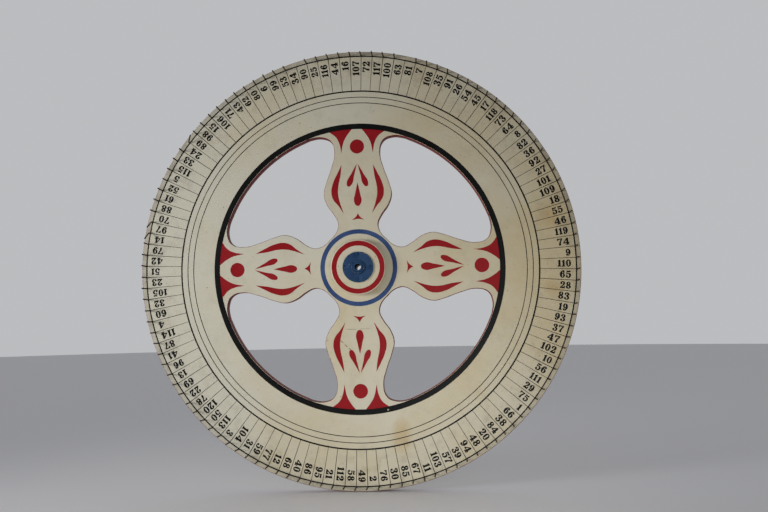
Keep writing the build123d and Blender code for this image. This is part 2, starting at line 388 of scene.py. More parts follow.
def worn_enamel(name, colour, faded, under, wear, under_metallic=0.0, roughness=0.42, pattern=0.0):
    """Brushed enamel: the colour fades in patches and is worn through to what is under it."""
    material = bpy.data.materials.new(name)
    material.use_nodes = True
    nodes = material.node_tree.nodes
    links = material.node_tree.links
    nodes.clear()

    place = nodes.new("ShaderNodeTexCoord")
    place.label = "Place on the wheel"
    other_part = nodes.new("ShaderNodeMapping")
    other_part.label = "Its own part of the patterns"
    other_part.inputs["Location"].default_value = (pattern, pattern, -pattern)

    fading = nodes.new("NodeFrame")
    fading.label = "Fading"
    patches = nodes.new("ShaderNodeTexNoise")
    patches.label = "Thin and thick paint"
    patches.parent = fading
    patches.inputs["Scale"].default_value = 24.0
    patches.inputs["Detail"].default_value = 7.0
    patches.inputs["Roughness"].default_value = 0.65
    patch_colour = nodes.new("ShaderNodeValToRGB")
    patch_colour.label = "Full colour to faded"
    patch_colour.parent = fading
    patch_colour.color_ramp.elements[0].position = 0.40
    patch_colour.color_ramp.elements[0].color = (*colour, 1)
    patch_colour.color_ramp.elements[1].position = 0.74
    patch_colour.color_ramp.elements[1].color = (*faded, 1)

    wearing = nodes.new("NodeFrame")
    wearing.label = "Worn through"
    scuffs = nodes.new("ShaderNodeTexNoise")
    scuffs.label = "Scuffs"
    scuffs.parent = wearing
    scuffs.inputs["Scale"].default_value = 130.0
    scuffs.inputs["Detail"].default_value = 9.0
    scuffs.inputs["Roughness"].default_value = 0.72
    scuff_mask = nodes.new("ShaderNodeMapRange")
    scuff_mask.label = "How much is worn"
    scuff_mask.parent = wearing
    scuff_mask.inputs["From Min"].default_value = 0.72 - wear
    scuff_mask.inputs["From Max"].default_value = 0.76 - wear
    worn = nodes.new("ShaderNodeMix")
    worn.label = "Enamel or what is under it"
    worn.parent = wearing
    worn.data_type = "RGBA"
    worn.inputs["B"].default_value = (*under, 1)
    bare_shine = nodes.new("ShaderNodeMapRange")
    bare_shine.label = "Metal only where worn"
    bare_shine.parent = wearing
    bare_shine.inputs["To Max"].default_value = under_metallic

    surface = nodes.new("NodeFrame")
    surface.label = "Brushed surface"
    gloss = nodes.new("ShaderNodeMapRange")
    gloss.label = "Gloss and dull patches"
    gloss.parent = surface
    gloss.inputs["To Min"].default_value = roughness - 0.08
    gloss.inputs["To Max"].default_value = roughness + 0.16
    brush = nodes.new("ShaderNodeTexNoise")
    brush.label = "Brush marks"
    brush.parent = surface
    brush.inputs["Scale"].default_value = 330.0
    brush.inputs["Detail"].default_value = 3.0
    relief = nodes.new("ShaderNodeBump")
    relief.label = "Paint relief"
    relief.parent = surface
    relief.inputs["Strength"].default_value = 0.15
    relief.inputs["Distance"].default_value = 0.0003
    edge = nodes.new("ShaderNodeBump")
    edge.label = "Step at the worn edge"
    edge.parent = surface
    edge.invert = True
    edge.inputs["Strength"].default_value = 0.35
    edge.inputs["Distance"].default_value = 0.0002

    enamel = nodes.new("ShaderNodeBsdfPrincipled")
    enamel.label = "Enamel"
    enamel.inputs["Specular IOR Level"].default_value = 0.12
    out = nodes.new("ShaderNodeOutputMaterial")
    out.label = "Enamel surface"

    links.new(place.outputs["Object"], other_part.inputs["Vector"])
    links.new(other_part.outputs["Vector"], patches.inputs["Vector"])
    links.new(patches.outputs["Fac"], patch_colour.inputs["Fac"])
    links.new(other_part.outputs["Vector"], scuffs.inputs["Vector"])
    links.new(scuffs.outputs["Fac"], scuff_mask.inputs["Value"])
    links.new(scuff_mask.outputs["Result"], worn.inputs["Factor"])
    links.new(patch_colour.outputs["Color"], worn.inputs["A"])
    links.new(scuff_mask.outputs["Result"], bare_shine.inputs["Value"])
    links.new(patches.outputs["Fac"], gloss.inputs["Value"])
    links.new(other_part.outputs["Vector"], brush.inputs["Vector"])
    links.new(brush.outputs["Fac"], relief.inputs["Height"])
    links.new(scuff_mask.outputs["Result"], edge.inputs["Height"])
    links.new(relief.outputs["Normal"], edge.inputs["Normal"])
    links.new(worn.outputs["Result"], enamel.inputs["Base Color"])
    links.new(bare_shine.outputs["Result"], enamel.inputs["Metallic"])
    links.new(gloss.outputs["Result"], enamel.inputs["Roughness"])
    links.new(edge.outputs["Normal"], enamel.inputs["Normal"])
    links.new(enamel.outputs["BSDF"], out.inputs["Surface"])
    for count, node in enumerate(nodes):
        node.location = (240 * (count % 6), -300 * (count // 6))
    return material


BARE_WOOD = (0.300, 0.170, 0.080)
OLD_CREAM = (0.560, 0.490, 0.340)
edge_red = worn_enamel("dark_red_edge", (0.150, 0.008, 0.010), (0.230, 0.022, 0.020), BARE_WOOD, 0.05)

rim_outline = (oval(0, 0, WHEEL_R, WHEEL_R), 72)
barrel_hole = (oval(0, 0, BARREL_R, BARREL_R), 16)
corner_angle = degrees(asin(RIM_CORNER_X / RING_INNER_R))
ARC_POINTS = 16
arc = []
for count in range(ARC_POINTS + 1):
    turn = radians(corner_angle + (90 - 2 * corner_angle) * count / ARC_POINTS)
    arc.append((RING_INNER_R * sin(turn), RING_INNER_R * cos(turn)))
hub_corner = (HUB_CORNER_R / sqrt(2), HUB_CORNER_R / sqrt(2))
window = arc + [(z, x) for x, z in SPOKE_SIDE] + [hub_corner] + SPOKE_SIDE[::-1]
windows = []
for quarter in QUARTER_TURNS:
    turned = [quarter @ Vector((x, 0, z)) for x, z in window]
    windows.append(([(point.x, point.z, "AUTO") for point in turned], 5))

board_shape = flat_shape("board", [rim_outline, barrel_hole, *windows], BOARD_BACK - BOARD_FRONT, ARRIS, 3)
for face in board_shape.faces:
    face.material_index = 0 if abs(face.normal.y) > 0.98 else 1
    face.smooth = face.material_index == 1
for edge in board_shape.edges:
    edge.smooth = len({face.material_index for face in edge.link_faces}) == 1
board = finished(board_shape, "board", [cream_paint, edge_red])
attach(board, "wheel")
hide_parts("front_face_ply", "core_ply", "back_face_ply")

# ---- painted circles --------------------------------------------------------------------
# Signwriter's enamel, struck with the brush held still and the wheel turning: the outline,
# the inside circle of the number band, two pinstripes, the wide black band that frames
# the windows, and the blue circle round the hub. The paint stands a hair above the board.

BAND_OUTER_R = 0.4472
BAND_INNER_R = 0.3724
OUTLINE_W = 0.0026
INSIDE_LINE_W = 0.0030
PINSTRIPES = {"outer": (0.35875, 0.36025), "inner": (0.34645, 0.34795)}
BLACK_BAND_OUTER_R = 0.3030
BLUE_CIRCLE = (0.0708, 0.0800)
CIRCLE_STEPS = 240
PAINT_T = 0.00012
WOBBLE = 0.00016
black_enamel = worn_enamel("black_enamel", (0.0030, 0.0035, 0.0032), (0.0080, 0.0090, 0.0085),
                           OLD_CREAM, 0.0)
line_black = worn_enamel("thin_black_line", (0.018, 0.016, 0.011), (0.055, 0.046, 0.030), OLD_CREAM, 0.06,
                         pattern=3.0)
red_enamel = worn_enamel("deep_red_enamel", (0.265, 0.006, 0.010), (0.300, 0.012, 0.017), OLD_CREAM, 0.0,
                         pattern=5.0)
blue_enamel = worn_enamel("blue_enamel", (0.030, 0.060, 0.165), (0.050, 0.095, 0.220), OLD_CREAM, 0.01,
                          pattern=7.0)


def painted_circle(name, inner, outer, face_y, out, material, slot, steps=CIRCLE_STEPS):
    """A closed ring of paint, its edges as unsteady as a brush makes them."""
    shape = bmesh.new()
    low = face_y - out * PAINT_T / 4
    high = face_y + out * PAINT_T
    section = [shape.verts.new((r, y, 0)) for r, y in
               [(inner, low), (inner, high), (outer, high), (outer, low)]]
    edges = [shape.edges.new((section[k], section[k - 1])) for k in range(4)]
    bmesh.ops.spin(shape, geom=section + edges, cent=(0, 0, 0), axis=(0, 1, 0),
                   angle=2 * pi, steps=steps, use_merge=True)
    for vert in shape.verts:
        radius = sqrt(vert.co.x**2 + vert.co.z**2)
        way = Vector((vert.co.x, 0, vert.co.z)) / radius
        vert.co += way * WOBBLE * noise.noise(way * 9 + Vector((0, radius * 400, 0)))
    bmesh.ops.remove_doubles(shape, verts=shape.verts, dist=1e-7)
    bmesh.ops.recalc_face_normals(shape, faces=shape.faces)
    ring = finished(shape, name, [material])
    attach(ring, "wheel")


painted_circle("number_band_outline", BAND_OUTER_R - OUTLINE_W / 2, BAND_OUTER_R + OUTLINE_W / 2,
               BOARD_FRONT, -1, black_enamel, "black_enamel")
painted_circle("number_band_inside_line", BAND_INNER_R - INSIDE_LINE_W / 2,
               BAND_INNER_R + INSIDE_LINE_W / 2, BOARD_FRONT, -1, black_enamel, "black_enamel")
for which, (inner, outer) in PINSTRIPES.items():
    painted_circle(f"{which}_pinstripe", inner, outer, BOARD_FRONT, -1, black_enamel, "black_enamel")
for side, face_y, out in [("front", BOARD_FRONT, -1), ("back", BOARD_BACK, 1)]:
    painted_circle(f"{side}_black_band", RING_INNER_R + ARRIS, BLACK_BAND_OUTER_R, face_y, out,
                   black_enamel, "black_enamel")
    painted_circle(f"{side}_blue_circle", *BLUE_CIRCLE, face_y, out, blue_enamel, "blue_enamel")

# ---- spoke ornaments --------------------------------------------------------------------
# The same brushed pattern on each spoke, pulled freehand in deep red: a dot between two
# hollow-sided corners, a V of two teardrops, a single teardrop, two long leaves that
# follow the spoke's sides, and a small arrowhead at the hub.


def teardrop(point, centre, radius):
    """The outline of a brush stroke that starts at a point and swells to a round end."""
    point = Vector(point)
    centre = Vector(centre)
    along = (centre - point).normalized()
    across = Vector((-along.y, along.x))
    neck = point.lerp(centre, 0.5)
    places = [point, neck + across * radius * 0.66, centre + across * radius, centre + along * radius,
              centre - across * radius, neck - across * radius * 0.66]
    return [(spot.x, spot.y, "AUTO" if spot != point else "VECTOR") for spot in places]


MM = 0.001
STROKE_STEPS = 8
right_corner = [(33.2, 241.0, "VECTOR"), (37.2, 262.0, "AUTO"), (44.5, 275.5, "AUTO"),
                (58.0, 286.0, "VECTOR"), (34.5, 290.2, "AUTO"), (10.0, 292.0, "VECTOR"),
                (20.5, 278.5, "AUTO"), (28.2, 264.0, "AUTO")]
right_leaf = [(29.4, 112.8, "VECTOR"), (40.3, 129.2, "AUTO"), (51.5, 143.8, "AUTO"),
              (55.0, 158.5, "AUTO"), (51.0, 178.7, "AUTO"), (42.0, 198.2, "AUTO"),
              (33.0, 216.0, "VECTOR"), (35.9, 192.0, "AUTO"), (40.2, 171.0, "AUTO"),
              (41.0, 156.0, "AUTO"), (37.8, 138.2, "AUTO")]
arrowhead = [(0, 113.2, "VECTOR"), (5.0, 105.5, "AUTO"), (13.0, 99.8, "VECTOR"), (0, 101.6, "AUTO"),
             (-13.0, 99.8, "VECTOR"), (-5.0, 105.5, "AUTO")]
strokes = [
    oval(0, 254.5, 15.0, 15.0),
    teardrop((0, 178.5), (0, 136.0), 7.1),
    arrowhead,
]
for outline in [right_corner, right_leaf, teardrop((0.9, 218.0), (18.0, 174.6), 4.9)]:
    strokes.append(outline)
    strokes.append([(-x, z, handle) for x, z, handle in outline])

pattern = bmesh.new()
for outline in strokes:
    scaled = [(x * MM, z * MM, handle) for x, z, handle in outline]
    stroke = flat_shape("stroke", [(scaled, STROKE_STEPS)], PAINT_T)
    stroke_mesh = bpy.data.meshes.new("stroke")
    stroke.to_mesh(stroke_mesh)
    stroke.free()
    pattern.from_mesh(stroke_mesh)
    bpy.data.meshes.remove(stroke_mesh)
bmesh.ops.translate(pattern, verts=pattern.verts, vec=(0, BOARD_FRONT - PAINT_T / 2, 0))
spoke_mesh = bpy.data.meshes.new("spoke_pattern")
pattern.to_mesh(spoke_mesh)
pattern.free()
for spoke, quarter in zip(["top", "right", "bottom", "left"], QUARTER_TURNS):
    ornament = bpy.data.objects.new(f"{spoke}_spoke_ornament", spoke_mesh.copy())
    bpy.context.scene.collection.objects.link(ornament)
    ornament.data.transform(quarter)
    ornament.data.materials.append(red_enamel)
    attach(ornament, "wheel")

# ---- cracks and chips -------------------------------------------------------------------
# Age in the paint of the front: a dark broken crack and a hairline across the bottom spoke,
# small chips in the black band that show the cream below, and one at the rim.

CRACKS = [((-41.0, -149.5), (-33.4, -156.0), 1.5), ((-32.6, -157.6), (-24.8, -164.2), 1.9),
          ((-23.6, -165.6), (-17.0, -171.0), 1.2), ((-31.0, -127.0), (-4.0, -127.6), 0.7),
          ((-2.0, -127.2), (24.0, -126.6), 0.6)]
CHIPS = [(56.0, -293.0, 2.2), (-284.0, -56.0, 1.8), (-170.0, 236.0, 2.0), (452.3, -52.0, 2.4)]
DAMAGE_Y = BOARD_FRONT - 0.75 * PAINT_T
age = random.Random(7)
cracks = []
for start, end, width in CRACKS:
    start, end = Vector(start), Vector(end)
    across = (end - start).orthogonal().normalized() * width / 2
    one_side = [start.lerp(end, part) + across * age.uniform(0.4, 1.3) for part in (0.25, 0.5, 0.75)]
    other_side = [start.lerp(end, part) - across * age.uniform(0.4, 1.3) for part in (0.75, 0.5, 0.25)]
    cracks.append([start, *one_side, end, *other_side])
chipped = []
for x, z, radius in CHIPS:
    chipped.append([Vector((x, z)) + Vector((sin(turn), cos(turn))) * radius * age.uniform(0.5, 1.2)
                    for turn in [2 * pi * corner / 9 for corner in range(9)]])
chipped_cream = worn_enamel("chipped_to_cream", OLD_CREAM, (0.480, 0.400, 0.270), BARE_WOOD, 0.06,
                            pattern=11.0)
for name, outlines, material, slot in [
        ("paint_cracks", cracks, line_black, "black_enamel"),
        ("paint_chips", chipped, chipped_cream, "cream_board")]:
    scaled = [([(point.x * MM, point.y * MM, "VECTOR") for point in outline], 1) for outline in outlines]
    damage = flat_shape(name, scaled, PAINT_T)
    bmesh.ops.translate(damage, verts=damage.verts, vec=(0, DAMAGE_Y, 0))
    marks = finished(damage, name, [material])
    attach(marks, "wheel")

# ---- division lines ---------------------------------------------------------------------
# One thin line on each side of every number, drawn with a lining brush from the outline
# in to the inside circle, thin enough for the cream to show through.

NUMBERS = 120
STEP = 2 * pi / NUMBERS
LINE_W = 0.0014
chance = random.Random(120)
lines = bmesh.new()
for space in range(NUMBERS):
    made = bmesh.ops.create_cube(lines, size=1)["verts"]
    width = LINE_W * chance.uniform(0.80, 1.10)
    bmesh.ops.scale(lines, verts=made, vec=(width, PAINT_T, BAND_OUTER_R - BAND_INNER_R))
    for vert in made:
        if vert.co.z < 0:
            vert.co.x *= chance.uniform(0.55, 0.8)
    middle = (chance.uniform(-1, 1) * 0.0003, BOARD_FRONT - PAINT_T / 4, (BAND_OUTER_R + BAND_INNER_R) / 2)
    bmesh.ops.translate(lines, verts=made, vec=middle)
    round_band = Matrix.Rotation((space + 0.5) * STEP, 3, "Y")
    bmesh.ops.rotate(lines, verts=made, cent=(0, 0, 0), matrix=round_band)
division_lines = finished(lines, "division_lines", [line_black])
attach(division_lines, "wheel")

# ---- numbers ----------------------------------------------------------------------------
# 1 to 120 in the order of the wheel, clockwise from the top, hand lettered in fat
# slab-serif figures. Each reads outwards, and its last figure ends just inside the outline.

ORDER = [
    107, 72, 117, 100, 63, 81, 7, 108, 35, 91, 26, 54, 45, 17, 118, 73, 64, 8, 82, 36,
    92, 27, 101, 109, 18, 55, 46, 119, 74, 9, 110, 65, 28, 83, 19, 93, 37, 47, 102, 10,
    56, 111, 29, 75, 1, 66, 38, 84, 20, 48, 94, 39, 57, 103, 11, 67, 85, 30, 76, 2,
    49, 58, 112, 21, 95, 86, 40, 68, 12, 77, 59, 31, 104, 3, 113, 50, 120, 78, 22, 69,
    13, 96, 41, 87, 114, 4, 60, 32, 105, 23, 51, 42, 79, 14, 97, 70, 88, 61, 52, 5,
    115, 33, 24, 89, 98, 15, 106, 71, 43, 62, 80, 6, 99, 53, 34, 90, 25, 116, 44, 16,
]
FIGURE_H = 0.0137
BRUSH_SPREAD = 0.00032
FIGURE_UNITS = 100
FIGURE_GAP = 16
FIGURE_STEPS = 5
NUMBER_END_R = 0.4370


def corners(*points):
    """An outline of straight sides."""
    return [(x, z, "VECTOR") for x, z in points]


def bent(*points):
    """An outline whose points are smooth, but for those marked with a third value."""
    return [(point[0], point[1], "VECTOR" if len(point) == 3 else "AUTO") for point in points]


# Each figure is a list of brush shapes, and each shape an outline and the holes in it, in
# hundredths of the figure's height.
FIGURES = {
    "0": (71, [[oval(35.5, 50, 35.5, 52), oval(35.5, 50, 10.5, 41)]]),
    "1": (45, [[corners((0, 0), (45, 0), (45, 9), (36, 12), (36, 101), (28, 101), (0, 84), (0, 75),
                        (11, 78), (11, 12), (0, 9))]]),
    "2": (71, [[bent((2, 72), (10, 94), (36, 103), (64, 93), (68, 70), (52, 46), (30, 27), (50, 20),
                     (61, 38, 0), (69, 38, 0), (68, 0, 0), (0, 0, 0), (1, 12, 0), (22, 36), (41, 60),
                     (43, 80), (33, 94), (20, 88))],
               [oval(14, 75, 13, 13)]]),
    "3": (71, [[bent((8, 90), (34, 103), (62, 93), (64, 69), (46, 53, 0), (66, 44), (71, 24), (56, 2),
                     (30, -2), (4, 12), (16, 10), (32, 5), (45, 16), (45, 36), (24, 49, 0), (24, 56, 0),
                     (39, 66), (40, 84), (30, 95), (16, 90))],
               [oval(14, 79, 12, 12)], [oval(13, 19, 13, 12.5)]]),
    "4": (86, [[corners((47, 8), (72, 8), (72, 101), (61, 101), (47, 84))],
               [corners((36, 0), (84, 0), (84, 9), (36, 9))],
               [corners((0, 24), (86, 24), (86, 35), (0, 35))],
               [corners((0, 34), (13, 34), (56, 92), (61, 101), (53, 101))]]),
    "5": (71, [[bent((11, 101, 0), (38, 97), (65, 101, 0), (64, 86), (48, 81), (17, 84, 0), (16, 83, 0))],
               [corners((11, 101), (18, 101), (16, 48), (9, 46))],
               [bent((10, 49, 0), (20, 62), (40, 67), (66, 55), (71, 32), (58, 6), (31, -2), (4, 12),
                     (16, 10), (31, 5), (46, 18), (46, 46), (31, 58), (15, 51, 0))],
               [oval(13, 19, 13, 12.5)]]),
    "6": (71, [[oval(37, 32, 34, 34), oval(38, 31, 9.5, 25)],
               [bent((2, 40), (11, 78), (43, 103), (65, 90), (54, 88), (43, 94), (31, 78), (27, 48),
                     (20, 30))],
               [oval(55, 82, 11.5, 11.5)]]),
    "7": (71, [[bent((0, 101, 0), (7, 101, 0), (33, 98), (71, 101, 0), (71, 84, 0), (14, 82),
                     (8, 68, 0), (0, 68, 0))],
               [bent((71, 101, 0), (71, 86, 0), (50, 44), (47, 0, 0), (20, 0, 0), (28, 38),
                     (56, 86, 0))]]),
    "8": (71, [[oval(35.5, 75, 31, 27), oval(37, 77, 9, 17)],
               [oval(35.5, 26, 35.5, 28), oval(36, 25, 11, 19)]]),
}
figure_meshes = {}
for figure, (figure_width, brush_shapes) in FIGURES.items():
    drawn = bmesh.new()
    for layer, brush_shape in enumerate(brush_shapes):
        scaled = []
        for outline in brush_shape:
            scale = FIGURE_H / FIGURE_UNITS
            scaled.append(([(x * scale, z * scale, handle) for x, z, handle in outline], FIGURE_STEPS))
        part = flat_shape("figure", scaled, PAINT_T * (1 + 0.08 * layer), fatter=BRUSH_SPREAD)
        part_mesh = bpy.data.meshes.new("figure")
        part.to_mesh(part_mesh)
        part.free()
        drawn.from_mesh(part_mesh)
        bpy.data.meshes.remove(part_mesh)
    figure_meshes[figure] = bpy.data.meshes.new(f"figure_{figure}")
    drawn.to_mesh(figure_meshes[figure])
    drawn.free()
figure_meshes["9"] = figure_meshes["6"].copy()
upside_down = Matrix.Rotation(pi, 4, "Y")
upside_down.translation = (FIGURES["6"][0] * FIGURE_H / FIGURE_UNITS, 0, FIGURE_H)
figure_meshes["9"].transform(upside_down)
widths = {figure: width for figure, (width, shapes) in FIGURES.items()}
widths["9"] = widths["6"]

for quarter, spokes_between in enumerate(["top_right", "bottom_right", "bottom_left", "top_left"]):
    lettering = bmesh.new()
    for space in range(quarter * NUMBERS // 4, (quarter + 1) * NUMBERS // 4):
        text = str(ORDER[space])
        length = sum(widths[figure] for figure in text) + FIGURE_GAP * (len(text) - 1)
        size = chance.uniform(0.96, 1.03)
        pen = -length * size * FIGURE_H / FIGURE_UNITS
        reading = Matrix.Rotation(space * STEP - pi / 2 + radians(chance.uniform(-1.2, 1.2)), 4, "Y")
        end = NUMBER_END_R + chance.uniform(-0.0016, 0.0012)
        cell = Matrix.Rotation(space * STEP - pi / 2, 4, "Y") @ Vector((end, 0, 0))
        for figure in text:
            spot = Matrix.Translation((cell.x, BOARD_FRONT - PAINT_T / 2, cell.z)) @ reading
            spot = spot @ Matrix.Translation((pen, 0, -FIGURE_H * size / 2)) @ Matrix.Scale(size, 4)
            stamped = figure_meshes[figure].copy()
            stamped.transform(spot)
            lettering.from_mesh(stamped)
            bpy.data.meshes.remove(stamped)
            pen += (widths[figure] + FIGURE_GAP) * size * FIGURE_H / FIGURE_UNITS
    numbers = finished(lettering, f"{spokes_between}_numbers", [black_enamel])
    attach(numbers, "wheel")

# ---- rim pins ---------------------------------------------------------------------------
# Plain wire nails with their heads cut off, driven in on the division lines. Two have
# been lost and three knocked over, and none stands quite straight.

PIN_CIRCLE_R = 0.4485
PIN_R = 0.0014
PIN_SIDES = 8
PIN_LEAN = 1.6
PIN_TIP_TAPER = 0.72
MISSING = [13.5, 343.5]
BENT = {280.5: -38, 283.5: -38, 307.5: 38}
BEND_STEPS = 4

nail_wire = bpy.data.materials.new("dark_nail_wire")
nail_wire.use_nodes = True
nodes = nail_wire.node_tree.nodes
links = nail_wire.node_tree.links
nodes.clear()
place = nodes.new("ShaderNodeTexCoord")
place.label = "Place on the wheel"
rusting = nodes.new("NodeFrame")
rusting.label = "Oxide and rust"
oxide = nodes.new("ShaderNodeTexNoise")
oxide.label = "Rust patches"
oxide.parent = rusting
oxide.inputs["Scale"].default_value = 160.0
oxide.inputs["Detail"].default_value = 8.0
rust_colour = nodes.new("ShaderNodeValToRGB")
rust_colour.label = "Black oxide to brown rust"
rust_colour.parent = rusting
rust_colour.color_ramp.elements[0].position = 0.42
rust_colour.color_ramp.elements[0].color = (0.030, 0.028, 0.027, 1)
rust_colour.color_ramp.elements[1].position = 0.72
rust_colour.color_ramp.elements[1].color = (0.130, 0.062, 0.030, 1)
not_metal = nodes.new("ShaderNodeMapRange")
not_metal.label = "Rust is not metallic"
not_metal.parent = rusting
not_metal.inputs["From Min"].default_value = 0.40
not_metal.inputs["From Max"].default_value = 0.65
not_metal.inputs["To Min"].default_value = 0.75
not_metal.inputs["To Max"].default_value = 0.1
rust_gloss = nodes.new("ShaderNodeMapRange")
rust_gloss.label = "Rust is dull"
rust_gloss.parent = rusting
rust_gloss.inputs["To Min"].default_value = 0.35
rust_gloss.inputs["To Max"].default_value = 0.85
pitting = nodes.new("ShaderNodeBump")
pitting.label = "Pitting"
pitting.parent = rusting
pitting.inputs["Strength"].default_value = 0.3
pitting.inputs["Distance"].default_value = 0.0002
wire = nodes.new("ShaderNodeBsdfPrincipled")
wire.label = "Nail wire"
out = nodes.new("ShaderNodeOutputMaterial")
out.label = "Nail surface"
links.new(place.outputs["Object"], oxide.inputs["Vector"])
links.new(oxide.outputs["Fac"], rust_colour.inputs["Fac"])
links.new(oxide.outputs["Fac"], not_metal.inputs["Value"])
links.new(oxide.outputs["Fac"], rust_gloss.inputs["Value"])
links.new(oxide.outputs["Fac"], pitting.inputs["Height"])
links.new(rust_colour.outputs["Color"], wire.inputs["Base Color"])
links.new(not_metal.outputs["Result"], wire.inputs["Metallic"])
links.new(rust_gloss.outputs["Result"], wire.inputs["Roughness"])
links.new(pitting.outputs["Normal"], wire.inputs["Normal"])
links.new(wire.outputs["BSDF"], out.inputs["Surface"])
for count, node in enumerate(nodes):
    node.location = (240 * (count % 4), -300 * (count // 4))

nails = bmesh.new()
for space in range(NUMBERS):
    clockwise = (space + 0.5) * 360 / NUMBERS
    if clockwise in MISSING:
        continue
    # Each run is how far the nail goes on, and how far it has turned over before that.
    runs = [(0.0135, 0), (0.0150, 0), (0.0005, 0)]
    if clockwise in BENT:
        turn = BENT[clockwise] / BEND_STEPS
        runs = [(0.0055, 0), (0.0012, turn), (0.0012, turn), (0.0012, turn), (0.0194, turn), (0.0005, 0)]
    ring = bmesh.ops.create_circle(nails, cap_ends=True, radius=PIN_R, segments=PIN_SIDES)["verts"]
    bmesh.ops.rotate(nails, verts=ring, cent=(0, 0, 0), matrix=Matrix.Rotation(radians(90), 3, "X"))
    cap = ring[0].link_faces[0]
    lean_x = radians(chance.uniform(-PIN_LEAN, PIN_LEAN))
    lean_z = radians(chance.uniform(-PIN_LEAN, PIN_LEAN))
    heading = Vector((lean_x, -1, lean_z)).normalized()
    centre = Vector((0, BOARD_FRONT + 0.0005, PIN_CIRCLE_R + chance.uniform(-1, 1) * 0.0003))
    bmesh.ops.translate(nails, verts=ring, vec=centre)
    drawn = set(ring)
    for run, (length, turn) in enumerate(runs):
        cap_copy = bmesh.ops.extrude_face_region(nails, geom=[cap])["geom"]
        cap_verts = [part for part in cap_copy if isinstance(part, bmesh.types.BMVert)]
        if run:
            bmesh.ops.delete(nails, geom=[cap], context="FACES_ONLY")
        lean = Matrix.Rotation(radians(turn), 3, "Z")
        heading = lean @ heading
        bmesh.ops.rotate(nails, verts=cap_verts, cent=centre, matrix=lean)
        bmesh.ops.translate(nails, verts=cap_verts, vec=heading * length)
        centre = centre + heading * length
        if run == len(runs) - 1:
            for vert in cap_verts:
                vert.co = centre + (vert.co - centre) * PIN_TIP_TAPER
        cap = [part for part in cap_copy if isinstance(part, bmesh.types.BMFace)][0]
        drawn.update(cap_verts)
    round_rim = Matrix.Rotation(radians(clockwise), 3, "Y")
    bmesh.ops.rotate(nails, verts=list(drawn), cent=(0, 0, 0), matrix=round_rim)
bmesh.ops.recalc_face_normals(nails, faces=nails.faces)
for face in nails.faces:
    face.smooth = len(face.verts) == 4
pins = finished(nails, "nail_pins", [nail_wire])
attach(pins, "wheel")
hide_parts("rim_pins")

# ---- hub bosses -------------------------------------------------------------------------
# A turned hardwood block on each face, glued over the bearing barrel and painted cream,
# with a red circle struck close to its eased edge.

BOSS_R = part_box("front_boss")[1].x
BOSS_EASE = 0.0025
BOSS_STEPS = 128
RED_CIRCLE = (0.0446, 0.0546)
for side, out in [("front", -1), ("back", 1)]:
    low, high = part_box(f"{side}_boss")
    base_y, face_y = (high.y, low.y) if out < 0 else (low.y, high.y)
    turning = bmesh.new()
    section = [turning.verts.new((r, y, 0)) for r, y in
               [(BARREL_R, base_y), (BARREL_R, face_y), (BOSS_R, face_y), (BOSS_R, base_y)]]
    edges = [turning.edges.new((section[k], section[k - 1])) for k in range(4)]
    bmesh.ops.spin(turning, geom=section + edges, cent=(0, 0, 0), axis=(0, 1, 0),
                   angle=2 * pi, steps=BOSS_STEPS, use_merge=True)
    bmesh.ops.remove_doubles(turning, verts=turning.verts, dist=1e-7)
    bmesh.ops.recalc_face_normals(turning, faces=turning.faces)
    rim = [edge for edge in turning.edges
           if all(abs(vert.co.y - face_y) < 1e-6 and vert.co.xz.length > BOSS_R - 1e-4
                  for vert in edge.verts)]
    bmesh.ops.bevel(turning, geom=rim, offset=BOSS_EASE, affect="EDGES", segments=5, profile=0.5,
                    material=-1)
    for face in turning.faces:
        face.smooth = abs(face.normal.y) < 0.999
    boss = finished(turning, f"turned_{side}_boss", [cream_paint])
    boss.data.set_sharp_from_angle(angle=radians(40))
    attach(boss, "wheel")
    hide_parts(f"{side}_boss")
    painted_circle(f"{side}_red_circle", *RED_CIRCLE, face_y, out, red_enamel, "red_enamel",
                   steps=BOSS_STEPS)

# ---- bearing covers, sleeve and ring nuts -----------------------------------------------
# Turned steel. The covers, their screws, the ring nuts and the sleeve were brushed over
# with blue enamel, which hands and spanners have worn back to the metal.

worn_blue = worn_enamel("worn_blue_on_steel", (0.013, 0.043, 0.108), (0.028, 0.070, 0.150),
                        (0.230, 0.230, 0.240), 0.09, under_metallic=0.9, pattern=9.0)


